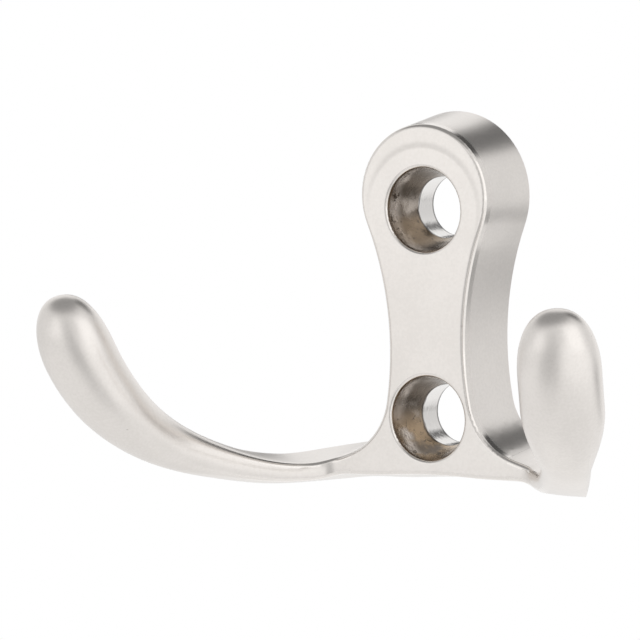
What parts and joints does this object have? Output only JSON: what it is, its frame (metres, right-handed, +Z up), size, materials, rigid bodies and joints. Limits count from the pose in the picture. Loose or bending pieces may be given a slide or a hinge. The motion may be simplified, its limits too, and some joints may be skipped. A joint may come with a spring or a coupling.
{
  "type": "double wall hook",
  "caption": "Cast metal wall hook: a waisted plate with countersunk screw holes and paired arms that curve forward and up into rounded bulbs.",
  "frame": {"origin": "on the wall plane, midway between the two screw holes", "axes": "+Z up, -Y out of the wall toward the room, +X to the right seen from the room; the hook is symmetric about X = 0"},
  "size_m": [0.0608, 0.0307, 0.0359],
  "materials": {
    "satin_nickel": "satin nickel plate on a zinc die casting"
  },
  "bodies": {
    "root": {"double_hook": "satin_nickel"}
  },
  "joints": []
}
